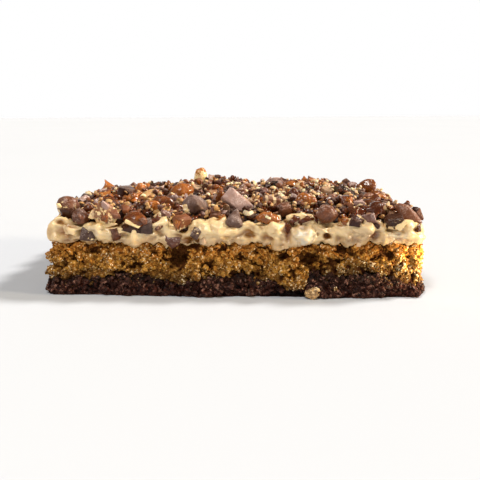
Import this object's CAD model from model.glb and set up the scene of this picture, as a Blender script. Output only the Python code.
"""The looks of a cut brookie bar: dark brownie, golden blondie, whipped icing and chopped sweets on top.

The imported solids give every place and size. Each layer is cut finer from its own solid and gets its
crumb or its whipped surface as real relief. The heap of sweets is rebuilt piece by piece over a bed,
with the small pieces where the solid heap has them.
"""

import logging
import math
import random
from collections.abc import Iterable, Iterator
from dataclasses import dataclass, field
from enum import Enum
from functools import reduce

import bmesh
import bpy
import numpy as np
from mathutils import Euler, Matrix, Vector, noise
from mathutils.bvhtree import BVHTree


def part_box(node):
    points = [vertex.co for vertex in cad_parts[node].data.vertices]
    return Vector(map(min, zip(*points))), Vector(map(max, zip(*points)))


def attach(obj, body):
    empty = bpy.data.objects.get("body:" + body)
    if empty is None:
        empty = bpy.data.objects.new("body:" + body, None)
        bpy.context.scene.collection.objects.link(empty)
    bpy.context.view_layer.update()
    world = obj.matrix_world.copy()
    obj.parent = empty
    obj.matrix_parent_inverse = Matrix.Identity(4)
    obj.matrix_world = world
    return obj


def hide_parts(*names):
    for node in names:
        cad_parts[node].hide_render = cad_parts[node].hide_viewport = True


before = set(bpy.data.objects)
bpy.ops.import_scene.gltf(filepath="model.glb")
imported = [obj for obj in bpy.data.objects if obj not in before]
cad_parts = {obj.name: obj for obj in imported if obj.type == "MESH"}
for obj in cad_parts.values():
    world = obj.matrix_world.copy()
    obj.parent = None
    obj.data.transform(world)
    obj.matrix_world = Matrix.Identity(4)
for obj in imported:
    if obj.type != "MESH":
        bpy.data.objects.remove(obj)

MM = 0.001
BODY = "root"
WELD = 0.002 * MM
FRONT_FACE = -26 * MM
NOISE_SEED = 11
RELIEF, TINT, CREAM, STAIN, MILKY = "relief", "tint", "cream", "stain", "milky"
LOOSE_TONE = 3.0
LEVEL_TONE = 0.5

log = logging.getLogger("brookie")

Colour = tuple[float, float, float]
Shape = bmesh.types.BMesh
Mesh = bpy.types.Mesh
Piece = bpy.types.Object
Material = bpy.types.Material
Socket = bpy.types.NodeSocket


class Sweet(Enum):
    """The kinds of sweet in the heap."""

    MILK = "milk_chocolate"
    CUT = "cut_chocolate"
    DARK = "dark_chocolate"
    CARAMEL = "caramel"
    PEANUT = "peanut"
    BLOOMED = "bloomed_chocolate"
    NOUGAT = "nougat"
    LAYERED = "layered_nougat"


MILK, CUT, DARK, CARAMEL, PEANUT, BLOOMED, NOUGAT, LAYERED = Sweet


# Materials


class Recipe:
    """The nodes of a material or of the sky, with its colour laid on in coats."""

    def __init__(self, holder: Material | bpy.types.World) -> None:
        """Starts on Object coordinates.

        Args:
            holder: The new material or world.
        """
        holder.use_nodes = True
        self.holder = holder
        self.tree = holder.node_tree
        self.shader = self.tree.nodes.get("Principled BSDF")
        self.place = self.made("ShaderNodeTexCoord", "Object")
        self.colour: Socket | None = None

    def feed(self, socket: Socket, value: object) -> None:
        """Links a socket to another one, or sets its constant.

        Args:
            socket: The input.
            value: Another socket, a colour or a number.
        """
        if isinstance(value, Socket):
            self.tree.links.new(value, socket)
        else:
            socket.default_value = (*value, 1.0) if socket.type == "RGBA" else value

    def made(
        self, kind: str, output: str | int, inputs: dict[str | int, object] | None = None, **settings: object
    ) -> Socket:
        """Adds a node.

        Args:
            kind: Blender's name for the node type.
            output: The output that is wanted.
            inputs: What goes into its inputs.
            settings: Properties to set on it.

        Returns:
            The output.
        """
        node = self.tree.nodes.new(kind)
        for name, value in settings.items():
            setattr(node, name, value)
        for name, value in (inputs or {}).items():
            self.feed(node.inputs[name], value)
        return node.outputs[output]

    def mottle(self, size: float, detail: float = 3.0, rough: float = 0.6, shift: float = 0.0) -> Socket:
        """Soft noise from 0 to 1, with spots up to a size in metres, and a shift that sets it apart."""
        inputs = {"Vector": self.place, "W": shift, "Scale": 1 / size, "Detail": detail, "Roughness": rough}
        return self.made("ShaderNodeTexNoise", "Fac", inputs, noise_dimensions="4D")

    def grains(self, size: float) -> tuple[Socket, Socket]:
        """Scattered grains of a size in metres: the distance from each one's middle, and its own tone."""
        away = self.made("ShaderNodeTexVoronoi", "Distance", {"Vector": self.place, "Scale": 1.0 / size})
        return away, self.made("ShaderNodeSeparateColor", "Red", {"Color": away.node.outputs["Color"]})

    def span(self, value: Socket, low: float, high: float) -> Socket:
        """A value mapped smoothly from low and high to 0 and 1."""
        inputs = {"Value": value, "From Min": low, "From Max": high}
        return self.made("ShaderNodeMapRange", "Result", inputs, interpolation_type="SMOOTHSTEP")

    def mixed(self, share: object, first: object, second: object) -> Socket:
        """Two colours mixed, with this share of the second."""
        return self.made("ShaderNodeMix", 2, {0: share, 6: first, 7: second}, data_type="RGBA")

    def maths(self, operation: str, first: object, second: object = 0.0) -> Socket:
        """A sum, product or other operation on two numbers."""
        return self.made("ShaderNodeMath", 0, {0: first, 1: second}, operation=operation)

    def times(self, first: object, second: object) -> Socket:
        """The product of two numbers."""
        return self.maths("MULTIPLY", first, second)

    def plus(self, first: object, second: object) -> Socket:
        """The sum of two numbers."""
        return self.maths("ADD", first, second)

    def lay(self, colour: object, *shares: object) -> None:
        """Lays a colour over what is there, by the product of some shares."""
        self.colour = self.mixed(reduce(self.times, shares), self.colour, colour)

    def attribute(self, name: str) -> Socket:
        """A number that the mesh carries at its points."""
        return self.made("ShaderNodeAttribute", "Fac", attribute_name=name)

    def along(self, axis: str, place: Socket | None = None) -> Socket:
        """One part of a vector, or else of the place in metres."""
        return self.made("ShaderNodeSeparateXYZ", axis, {0: place or self.place})

    def bumped(self, height: Socket, distance: float, strength: float) -> None:
        """Gives the shader a fine bump of this depth in metres."""
        inputs = {"Height": height, "Distance": distance, "Strength": strength}
        self.feed(self.shader.inputs["Normal"], self.made("ShaderNodeBump", "Normal", inputs))

    def finish(self, **constants: object) -> Material:
        """Sets the shader's sockets.

        Args:
            constants: What goes into them, by name, with spaces as underscores.

        Returns:
            The finished material.
        """
        for name, value in {"Base_Color": self.colour, **constants}.items():
            self.feed(self.shader.inputs[name.replace("_", " ")], value)
        return self.holder


@dataclass(frozen=True)
class CrumbFinish:
    """Baked crumb: grains of uneven tone, toasted towards the top, dark and rich in the creases."""

    name: str
    pit: Colour
    body: Colour
    grain: Colour
    tip: Colour
    top: Colour
    top_from: float
    top_to: float
    moist: Colour
    moist_from: float
    moist_to: float
    roughness: float
    gloss: float
    grain_size: float
    damper_right: float = 0.0
    drier_lump: float = 0.0

    def material(self) -> Material:
        """The node material.

        Returns:
            The material.
        """
        recipe = Recipe(bpy.data.materials.new(self.name))
        relief = recipe.attribute(RELIEF)
        distance, tone = recipe.grains(self.grain_size)
        fine_distance, fine_tone = recipe.grains(self.grain_size * 0.42)
        patches = recipe.mottle(3.5 * MM, 4.0, 0.7)
        golden = recipe.plus(recipe.times(tone, 0.4), patches)
        recipe.colour = recipe.mixed(recipe.span(golden, 0.5, 1.0), self.body, self.grain)
        wobble = recipe.times(recipe.mottle(4.0 * MM, 2.0, 0.5, 8.0), 3.0 * MM)
        level = recipe.plus(recipe.along("Z"), wobble)
        recipe.lay(self.top, recipe.span(level, self.top_from, self.top_to), 0.8)
        recipe.lay(self.grain, recipe.span(fine_tone, 0.6, 0.95))
        recipe.lay(self.pit, recipe.span(fine_tone, 0.25, 0.05), 0.6)
        right = recipe.along("X")
        damper = recipe.times(recipe.span(right, 20 * MM, 38 * MM), self.damper_right)
        lump = recipe.times(recipe.span(right, 9 * MM, 15 * MM), recipe.span(right, 28 * MM, 24 * MM))
        damp = recipe.plus(recipe.maths("SUBTRACT", level, damper), recipe.times(lump, self.drier_lump))
        soaked = recipe.span(damp, self.moist_from, self.moist_to)
        recipe.lay(self.moist, soaked, 0.8, recipe.span(relief, 1.4, 1.2))
        pale = recipe.times(recipe.span(fine_tone, 0.7, 0.95), recipe.span(relief, 0.3, 0.8))
        recipe.lay(self.tip, pale, recipe.span(patches, 0.38, 0.58))
        recipe.lay(self.tip, recipe.span(relief, 2.4, 2.6), 0.26)
        recipe.lay(self.pit, recipe.span(distance, 0.4, 0.8), 0.5)
        recipe.lay(self.pit, recipe.span(relief, 0.5, 0.0), 0.88)
        height = recipe.plus(recipe.times(distance, -1.6), recipe.mottle(0.4 * MM, 3.0))
        recipe.bumped(recipe.maths("SUBTRACT", height, fine_distance), 0.16 * MM, 0.8)
        return recipe.finish(
            Roughness=self.roughness, Specular_IOR_Level=self.gloss, Subsurface_Weight=0.06,
            Subsurface_Radius=(1.0, 0.45, 0.15), Subsurface_Scale=0.6 * MM,
        )


@dataclass(frozen=True)
class IcingFinish:
    """Whipped caramel icing: satin and soft, stained by the sweets, milky where one was dragged in it."""

    name: str = "whipped_icing"
    pale: Colour = (0.88, 0.65, 0.340)
    deep: Colour = (0.36, 0.16, 0.040)
    stain: Colour = (0.17, 0.05, 0.016)
    milky: Colour = (0.68, 0.59, 0.45)

    def material(self) -> Material:
        """The node material.

        Returns:
            The material.
        """
        recipe = Recipe(bpy.data.materials.new(self.name))
        streaks = recipe.mottle(1.5 * MM, 3.0, 0.6, 5.0)
        recipe.colour = recipe.mixed(
            recipe.span(recipe.mottle(5.0 * MM, 3.0, 0.55), 0.43, 0.88), self.pale, self.deep
        )
        recipe.lay(self.deep, recipe.span(recipe.attribute(RELIEF), 0.56, 0.12))
        lower = recipe.plus(recipe.along("Z"), recipe.times(streaks, 3.0 * MM))
        recipe.lay(self.deep, recipe.span(lower, 21.6 * MM, 18.2 * MM), 0.42)
        recipe.lay(self.milky, recipe.attribute(MILKY), recipe.span(streaks, 0.3, 0.6))
        recipe.lay(self.stain, recipe.span(streaks, 0.62, 0.8), 0.35)
        recipe.lay(self.stain, recipe.attribute(STAIN), recipe.span(streaks, 0.25, 0.55))
        recipe.bumped(recipe.mottle(1.3 * MM, 4.0, 0.6, 1.0), 0.34 * MM, 0.85)
        return recipe.finish(
            Roughness=0.26, Specular_IOR_Level=0.8, Subsurface_Weight=0.14,
            Subsurface_Radius=(1.0, 0.55, 0.25), Subsurface_Scale=0.9 * MM,
        )


@dataclass(frozen=True)
class SweetFinish:
    """A chopped sweet: two colours between which each piece falls, with dust, cream smears and bands."""

    slot: str
    deep: Colour
    bright: Colour
    dust: Colour
    dusty: float
    roughness: float
    gloss: float = 0.35
    soft: float = 0.0
    grain: float = 0.4 * MM
    bump: float = 0.09 * MM
    coat: float = 0.0
    band: float = 0.0

    def material(self, name: str) -> Material:
        """The node material.

        Args:
            name: The sweet's name.

        Returns:
            The material.
        """
        recipe = Recipe(bpy.data.materials.new(name))
        patches = recipe.plus(recipe.attribute(TINT), recipe.mottle(2.0 * MM, 3.0, 0.6))
        recipe.colour = recipe.mixed(recipe.span(patches, 0.6, 1.4), self.deep, self.bright)
        speckle = recipe.span(recipe.mottle(self.grain, 2.0, 0.7, 2.0), 0.42, 0.7)
        cover = recipe.span(recipe.mottle(2.6 * MM, 2.0, 0.5, 7.0), 0.35, 0.62)
        upward = recipe.along("Z", recipe.made("ShaderNodeNewGeometry", "Normal"))
        dusted = recipe.times(recipe.times(speckle, cover), recipe.span(upward, -0.3, 0.8))
        recipe.lay(self.dust, dusted, self.dusty)
        if self.band:
            along = recipe.plus(recipe.along("X"), recipe.times(recipe.mottle(2.5 * MM), 1.2 * MM))
            wave = recipe.maths("SINE", recipe.times(along, math.tau / self.band))
            recipe.lay(self.dust, recipe.span(wave, 0.1, 0.5))
        edge = recipe.plus(recipe.attribute(CREAM), recipe.mottle(1.4 * MM, 3.0, 0.6, 11.0))
        recipe.lay(IcingFinish.pale, recipe.span(edge, 1.0, 1.12))
        rough = recipe.plus(self.roughness, recipe.times(dusted, 0.3))
        recipe.bumped(recipe.mottle(self.grain * 1.6, 3.0, 0.65, 4.0), self.bump, 0.7)
        return recipe.finish(
            Roughness=rough, Specular_IOR_Level=self.gloss, Subsurface_Weight=self.soft,
            Subsurface_Radius=(1.0, 0.4, 0.12), Subsurface_Scale=1.0 * MM,
            Coat_Weight=self.coat, Coat_Roughness=0.12,
        )


BLONDIE_FINISH = CrumbFinish(
    name="blondie_crumb", pit=(0.034, 0.004, 0.0002), body=(0.31, 0.115, 0.014), grain=(0.70, 0.35, 0.058),
    tip=(1.0, 0.83, 0.54), top=(0.46, 0.155, 0.020), top_from=11.5 * MM, top_to=17.5 * MM,
    moist=(0.046, 0.023, 0.008), moist_from=12.5 * MM, moist_to=5.0 * MM, roughness=0.7, gloss=0.1,
    grain_size=1.05 * MM, damper_right=3.6 * MM, drier_lump=3.0 * MM,
)
BROWNIE_FINISH = CrumbFinish(
    name="brownie_crumb", pit=(0.003, 0.0007, 0.0003), body=(0.018, 0.0032, 0.0014),
    grain=(0.066, 0.018, 0.011), tip=(0.34, 0.17, 0.12), top=(0.030, 0.012, 0.006), top_from=4.5 * MM,
    top_to=7.5 * MM, moist=(0.036, 0.008, 0.004), moist_from=3.0 * MM, moist_to=0.5 * MM, roughness=0.36,
    gloss=0.11, grain_size=1.3 * MM,
)
SWEET_FINISHES = {
    MILK: SweetFinish(
        "milk_chocolate", (0.034, 0.006, 0.0015), (0.185, 0.064, 0.029), (0.56, 0.39, 0.31),
        dusty=0.85, roughness=0.3, gloss=0.28, soft=0.04,
    ),
    CUT: SweetFinish(
        "milk_chocolate", (0.13, 0.052, 0.036), (0.41, 0.255, 0.210), (0.90, 0.76, 0.72),
        dusty=1.0, roughness=0.56, gloss=0.2, grain=0.3 * MM, bump=0.14 * MM,
    ),
    DARK: SweetFinish(
        "dark_chocolate", (0.012, 0.002, 0.0006), (0.065, 0.021, 0.009), (0.28, 0.16, 0.11),
        dusty=0.5, roughness=0.24, gloss=0.28,
    ),
    BLOOMED: SweetFinish(
        "dark_chocolate", (0.050, 0.022, 0.015), (0.165, 0.090, 0.066), (0.56, 0.43, 0.38),
        dusty=0.95, roughness=0.42, gloss=0.3, grain=0.3 * MM, bump=0.14 * MM,
    ),
    CARAMEL: SweetFinish(
        "caramel", (0.085, 0.014, 0.001), (0.41, 0.130, 0.021), (0.62, 0.33, 0.12),
        dusty=0.22, roughness=0.22, gloss=0.3, soft=0.3, coat=0.35,
    ),
    PEANUT: SweetFinish(
        "chopped_sweets", (0.52, 0.30, 0.12), (0.90, 0.75, 0.49), (0.40, 0.18, 0.07),
        dusty=0.45, roughness=0.42, gloss=0.25, soft=0.2,
    ),
    NOUGAT: SweetFinish(
        "nougat", (0.20, 0.068, 0.026), (0.64, 0.42, 0.25), (0.12, 0.036, 0.015),
        dusty=0.75, roughness=0.46, gloss=0.25, soft=0.1,
    ),
    LAYERED: SweetFinish(
        "nougat", (0.10, 0.032, 0.014), (0.21, 0.082, 0.042), (0.70, 0.50, 0.30),
        dusty=0.25, roughness=0.42, gloss=0.25, band=2.7 * MM,
    ),
}
BED_FINISH = SweetFinish(
    "chopped_sweets", (0.016, 0.0045, 0.002), (0.10, 0.036, 0.017), (0.36, 0.18, 0.10),
    dusty=0.25, roughness=0.5,
)


# Shaping


def merged_copy(node: str) -> Shape:
    """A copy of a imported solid, with its loose triangles joined.

    Args:
        node: The node's name.

    Returns:
        The closed shape.
    """
    shape = bmesh.new()
    shape.from_mesh(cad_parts[node].data)
    bmesh.ops.remove_doubles(shape, verts=shape.verts, dist=WELD)
    for layer in list(shape.loops.layers.uv.values()):
        shape.loops.layers.uv.remove(layer)
    return shape


def mesh_of(shape: Shape, name: str) -> Mesh:
    """A mesh with a shape's faces.

    Args:
        shape: The shape, which is freed.
        name: The mesh's name.

    Returns:
        The mesh.
    """
    mesh = bpy.data.meshes.new(name)
    shape.to_mesh(mesh)
    shape.free()
    return mesh


def linked(name: str, data: bpy.types.ID) -> Piece:
    """A new object in the scene.

    Args:
        name: Its name.
        data: Its mesh, light or camera.

    Returns:
        The object.
    """
    piece = bpy.data.objects.new(name, data)
    bpy.context.scene.collection.objects.link(piece)
    return piece


def made_piece(
    shape: Shape, name: str, material: Material, node: str, slot: str, smooth: bool = True
) -> Piece:
    """A shown object from a finished shape, in place of a node.

    Args:
        shape: The shape, which is freed.
        name: The piece's name.
        material: Its finish.
        node: The node that it stands for.
        slot: The record's slot that it is finished from.
        smooth: Whether its faces are shaded smooth.

    Returns:
        The piece, riding on the bar's body.
    """
    for face in shape.faces:
        face.smooth = smooth
    piece = linked(name, mesh_of(shape, name))
    piece.data.materials.append(material)
    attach(piece, BODY)
    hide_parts(node)
    log.info("%s: %d faces", piece.name, len(piece.data.polygons))
    return piece


def placed(middle: Vector, turn: Euler, size: Iterable[float]) -> Matrix:
    """The matrix of a place, a turn and a size."""
    return Matrix.Translation(middle) @ turn.to_matrix().to_4x4() @ Matrix.Diagonal((*size, 1.0))


def refine(shape: Shape, faces: Iterable[bmesh.types.BMFace], cuts: int) -> None:
    """Splits the edges of some faces evenly, with a full grid of small faces between them."""
    edges = list(dict.fromkeys(edge for face in faces for edge in face.edges))
    bmesh.ops.subdivide_edges(shape, edges=edges, cuts=cuts, use_grid_fill=True)


def soften(shape: Shape, rounds: int) -> None:
    """Smooths every point of a shape.

    Args:
        shape: The shape.
        rounds: How often.
    """
    for _ in range(rounds):
        bmesh.ops.smooth_vert(
            shape, verts=shape.verts, factor=0.5, use_axis_x=True, use_axis_y=True, use_axis_z=True
        )


def worn(shape: Shape, edges: list[bmesh.types.BMEdge], wear: float, segments: int) -> None:
    """Rounds some edges off.

    Args:
        shape: The shape.
        edges: Its edges.
        wear: How far they are worn.
        segments: How finely they are rounded.
    """
    bmesh.ops.bevel(
        shape, geom=edges, offset=wear, affect="EDGES", segments=segments, profile=0.5, material=-1,
        clamp_overlap=True,
    )


def voxel_remeshed(shape: Shape, voxel: float) -> Shape:
    """One closed skin round everything in a shape.

    Args:
        shape: Overlapping closed shells, which are freed.
        voxel: The size of the new faces.

    Returns:
        The new shape.
    """
    carrier = linked("to_remesh", mesh_of(shape, "to_remesh"))
    remesh = carrier.modifiers.new("skin", "REMESH")
    remesh.mode = "VOXEL"
    remesh.voxel_size = voxel
    bpy.context.view_layer.update()
    skin = bmesh.new()
    skin.from_mesh(carrier.evaluated_get(bpy.context.evaluated_depsgraph_get()).data)
    bpy.data.meshes.remove(carrier.data)
    return skin


def clump(point: Vector, size: float) -> float:
    """Rounded clumps with creases between them, about 0, for a clump size in metres."""
    warped = point / size + noise.noise_vector(point / (size * 0.8)) * 0.4
    return 0.48 - noise.voronoi(warped)[0][0]


def clumps(point: Vector, layers: Iterable[tuple[float, float]]) -> float:
    """Clumps of several sizes in metres, each with its share."""
    return sum(share * clump(point, size) for share, size in layers)


def crack(point: Vector, size: float) -> float:
    """Thin broken cracks.

    Args:
        point: The place.
        size: The size of the patches between them.

    Returns:
        1 in the middle of a crack, and 0 away from them.
    """
    line = abs(noise.noise(point / size + noise.noise_vector(point / (size * 0.4)) * 0.3))
    broken = max(0.0, noise.noise(point / (size * 1.3) + Vector((9, 3, 6))) + 0.12)
    return max(0.0, 1.0 - line * 9.0) * min(1.0, broken * 4.0)


def bar_shift() -> Vector:
    """How far the middle of the bar's regular outline, the brownie's top, lies from the origin.

    Returns:
        The shift, which is level.
    """
    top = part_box("brownie_base")[1].z
    rim = [vert.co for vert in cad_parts["brownie_base"].data.vertices if vert.co.z > top - WELD]
    middle_x = (min(p.x for p in rim) + max(p.x for p in rim)) / 2
    middle_y = (min(p.y for p in rim) + max(p.y for p in rim)) / 2
    return Vector((middle_x, middle_y, 0.0))


@dataclass(frozen=True)
class Mark:
    """A form on the front cut face, in millimetres: where it is, its half size, how far it stands out."""

    x: float
    z: float
    wide: float
    tall: float
    out: float
    lean: float = 0.0

    def at(self, point: Vector) -> float:
        """How far the mark reaches at a point.

        Args:
            point: A point near the front face.

        Returns:
            The share of its full depth.
        """
        dx, dz = point.x / MM - self.x, point.z / MM - self.z
        if point.y > FRONT_FACE or math.hypot(dx, dz) > 2.2 * max(self.wide, self.tall):
            return 0.0
        turn = math.radians(self.lean)
        along = (dx * math.cos(turn) + dz * math.sin(turn)) / self.wide
        across = (dz * math.cos(turn) - dx * math.sin(turn)) / self.tall
        return math.exp(-((along**2 + across**2) ** 1.4))


def marked(marks: Iterable[Mark], point: Vector) -> float:
    """How far all the marks move a point out, in metres."""
    return sum(mark.out * mark.at(point) for mark in marks) * MM


@dataclass(frozen=True)
class Seam:
    """A ragged seam between two layers, which wanders up and down between two heights."""

    low: float
    high: float
    depth: float
    size: float

    def lift(self, point: Vector) -> float:
        """How far the seam moves a point up.

        Args:
            point: A point of either layer.

        Returns:
            The lift, in metres.
        """
        middle, half = (self.low + self.high) / 2, (self.high - self.low) / 2
        weight = max(0.0, 1.0 - abs(point.z - middle) / half)
        place = Vector((point.x, point.y, 0.0)) / self.size
        wander = noise.noise(place) + 0.6 * noise.noise(place * 2.3)
        return weight * weight * (3 - 2 * weight) * self.depth * wander


SEAMS = (
    Seam(1.0 * MM, 10.0 * MM, 1.7 * MM, 2.6 * MM),
    Seam(12.8 * MM, 20.6 * MM, 1.3 * MM, 2.2 * MM),
)
SEAM_FORMS = (
    Mark(-51, 6, 2.4, 3.4, 1.6), Mark(-43.5, 6, 4, 3.4, 1), Mark(-32.6, 6, 6.6, 3.6, 2.5),
    Mark(-18.6, 6, 4, 3.4, -1.1), Mark(-10.2, 6, 2.6, 3.4, 1.7), Mark(-3.6, 6, 3.4, 3.4, 2.1),
    Mark(4.6, 6, 4.2, 3.6, 2.5), Mark(25.2, 5, 2.4, 3.6, 2.8), Mark(32.6, 6, 4.6, 3.6, 2.6),
    Mark(42.4, 6, 4.8, 3.6, 2.8), Mark(50.4, 6, 3.2, 3.4, 1.6), Mark(57.4, 6, 3.4, 3.4, -1.5),
)


def seam_lift(point: Vector) -> float:
    """How far the ragged seams move a point of any layer up, in metres."""
    return sum(seam.lift(point) for seam in SEAMS) + marked(SEAM_FORMS, point)


# Little shapes


class Scatter:
    """Many copies of a few little meshes, joined into one shape, each with a number of its own."""

    def __init__(self, label: str) -> None:
        """Starts an empty shape.

        Args:
            label: The name of the number that each copy carries.
        """
        self.label = label
        self.shape = bmesh.new()
        self.shape.verts.layers.float.new(label)
        self.shape.verts.layers.float.new(CREAM)

    def add(self, kind: Mesh, place: Matrix, number: float, cream: float = 0.0) -> None:
        """Adds a copy.

        Args:
            kind: The mesh to copy.
            place: Where it goes, with its turn and size.
            number: The copy's own number.
            cream: How much of it is smeared with icing.
        """
        stamp = kind.copy()
        stamp.transform(place)
        for label, value in ((self.label, number), (CREAM, cream)):
            mark = stamp.attributes.new(label, "FLOAT", "POINT")
            mark.data.foreach_set("value", [value] * len(stamp.vertices))
        self.shape.from_mesh(stamp)
        bpy.data.meshes.remove(stamp)


def kept_mesh(shape: Shape) -> Mesh:
    """A little mesh from a closed shape, which is freed."""
    bmesh.ops.recalc_face_normals(shape, faces=shape.faces)
    return mesh_of(shape, "little")


def roughened(shape: Shape, draw: random.Random, grain: float, amount: float) -> None:
    """Moves each point of a shape of unit size by noise.

    Args:
        shape: The shape.
        draw: The source of chance.
        grain: How fine the noise is.
        amount: How far it moves a point.
    """
    shift = Vector([draw.uniform(-50, 50) for _ in range(3)])
    for vert in shape.verts:
        vert.co += noise.noise_vector(vert.co * grain + shift) * amount


def unit_direction(draw: random.Random) -> Vector:
    """A random direction.

    Args:
        draw: The source of chance.

    Returns:
        A vector of unit length.
    """
    while True:
        made = Vector([draw.uniform(-1, 1) for _ in range(3)])
        if 0.1 < made.length < 1.0:
            return made.normalized()


def broken_off(shape: Shape, facing: Vector, depth: float) -> None:
    """Cuts a closed shape by a plane, keeps the near side, and closes it.

    Args:
        shape: The shape.
        facing: The way that the plane faces.
        depth: How far from the origin it lies.
    """
    geom = shape.verts[:] + shape.edges[:] + shape.faces[:]
    broken = bmesh.ops.bisect_plane(
        shape, geom=geom, plane_co=facing * depth, plane_no=facing, clear_outer=True
    )
    rim = [item for item in broken["geom_cut"] if isinstance(item, bmesh.types.BMEdge)]
    if rim:
        bmesh.ops.edgeloop_fill(shape, edges=rim)


def lump(draw: random.Random, subdivisions: int, *bumps: tuple[float, float]) -> Mesh:
    """A lump of unit size.

    Args:
        draw: The source of chance.
        subdivisions: How finely it is divided.
        bumps: The fineness and the depth of each round of unevenness.

    Returns:
        The mesh.
    """
    shape = bmesh.new()
    bmesh.ops.create_icosphere(shape, subdivisions=subdivisions, radius=0.5)
    for grain, amount in bumps:
        roughened(shape, draw, grain, amount)
    return kept_mesh(shape)


def broken_block(draw: random.Random, breaks: int, wear: float, segments: int) -> Mesh:
    """A broken piece of unit size, with flat faces and worn edges.

    Args:
        draw: The source of chance.
        breaks: How many planes break it.
        wear: How far its edges are worn.
        segments: How finely they are rounded.

    Returns:
        The mesh.
    """
    shape = bmesh.new()
    bmesh.ops.create_cube(shape, size=0.94)
    for _ in range(breaks):
        broken_off(shape, unit_direction(draw), draw.uniform(0.27, 0.46))
    bmesh.ops.dissolve_degenerate(shape, dist=0.05, edges=shape.edges)
    worn(shape, shape.edges[:], wear, segments)
    roughened(shape, draw, 2.6, 0.12)
    if segments > 1:
        bmesh.ops.triangulate(shape, faces=shape.faces)
        refine(shape, shape.faces, 1)
        roughened(shape, draw, 8.0, 0.045)
    return kept_mesh(shape)


def split_nut(draw: random.Random, subdivisions: int) -> Mesh:
    """Half a nut of unit size, or a broken bit of one: rounded on one side, flat on the other.

    Args:
        draw: The source of chance.
        subdivisions: How finely it is divided.

    Returns:
        The mesh.
    """
    shape = bmesh.new()
    bmesh.ops.create_icosphere(shape, subdivisions=subdivisions, radius=0.5)
    broken_off(shape, Vector((0, 0, -1)), draw.uniform(0.0, 0.2))
    broken_off(shape, unit_direction(draw), draw.uniform(0.15, 0.35))
    roughened(shape, draw, 2.0, 0.16)
    return kept_mesh(shape)


def sweet_shapes(draw: random.Random, fine: bool) -> dict[Sweet, list[Mesh]]:
    """The shapes that each kind of sweet comes in.

    Args:
        draw: The source of chance.
        fine: Whether they are for the larger pieces.

    Returns:
        Several meshes of each kind.
    """
    many = range(14 if fine else 8)
    segments, round_cuts = (2, 3) if fine else (1, 2)
    return {
        MILK: [broken_block(draw, 7, 0.07, segments) for _ in many],
        CUT: [broken_block(draw, 7, 0.05, segments) for _ in many],
        DARK: [broken_block(draw, 6, 0.09, segments) for _ in many],
        CARAMEL: [lump(draw, round_cuts, (1.9, 0.42)) for _ in many],
        PEANUT: [split_nut(draw, round_cuts) for _ in many],
        BLOOMED: [broken_block(draw, 5, 0.09, segments)],
        NOUGAT: [broken_block(draw, 7, 0.06, segments) for _ in many],
        LAYERED: [broken_block(draw, 3, 0.04, segments)],
    }


# The baked layers


BLONDIE_MARKS = (
    Mark(-17.3, 12.2, 2.8, 3.6, -1.9), Mark(-13.2, 16.6, 3, 1.5, -2.2), Mark(-8.4, 10.8, 2, 0.9, -1.4),
    Mark(16.6, 13.2, 1.6, 1.1, -2.6), Mark(23.8, 12, 2.2, 1.7, -2.8, -25),
    Mark(33.9, 15.2, 1.8, 1.1, -2.4), Mark(32.6, 10.9, 2.2, 0.8, -1.8, 10),
    Mark(20.6, 5.4, 4.2, 3.4, 1.3, 20), Mark(19.2, 7.8, 1.2, 2, -2.2, 12),
    Mark(22.6, 5.6, 0.8, 1.8, -1.4, -30), Mark(-39, 10.4, 3.6, 0.8, 1.1, -58),
    Mark(-36.6, 7.2, 2.6, 0.8, -1.6, -10), Mark(-49.2, 10.9, 2.4, 0.7, -1.5, -20),
    Mark(-56.6, 8.6, 3.2, 0.7, -1.2, 8), Mark(-30.5, 9.8, 3.4, 0.8, -1.3, 12),
    Mark(3.4, 12.6, 2.6, 0.8, -1.2, -8), Mark(7.8, 7.6, 2.2, 1, -1.3, 16),
    Mark(41.5, 8.4, 3, 0.8, -1.3, -12), Mark(48.6, 13.4, 2.4, 0.9, -1.3, 14),
    Mark(-60.4, 11.6, 2.8, 1.7, 2.1), Mark(-60.4, 6.8, 2.8, 1.8, 2.3), Mark(-59.6, 9.3, 2, 0.8, -1),
    Mark(60.6, 10.4, 3.2, 2.4, 1.3), Mark(60.6, 6.4, 3, 1.6, 0.9), Mark(-44, 14.8, 3.2, 0.9, -1.2, 18),
    Mark(-24.6, 14.2, 2.4, 0.8, -1.1, -30), Mark(-3.6, 15.4, 2.6, 0.8, -1.2, 8),
    Mark(10.4, 15.6, 2.6, 0.8, -1.3, -14), Mark(27.6, 7.4, 2.6, 0.9, -1.4, 30),
)
BROWNIE_MARKS = (
    Mark(17.6, 0.6, 6, 1.3, -1.4), Mark(-58, 1.6, 4, 1.6, 0.8), Mark(59.5, 1.2, 4, 1.5, 0.4),
    Mark(-8, 2.8, 3.6, 2, 0.9), Mark(30, 1.6, 6.4, 2.6, 1.6), Mark(42, 1.2, 5, 2.2, 1.2),
)
BROWNIE_LIFTS = (Mark(18.4, 0, 4.4, 3, 1.1),)


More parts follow.
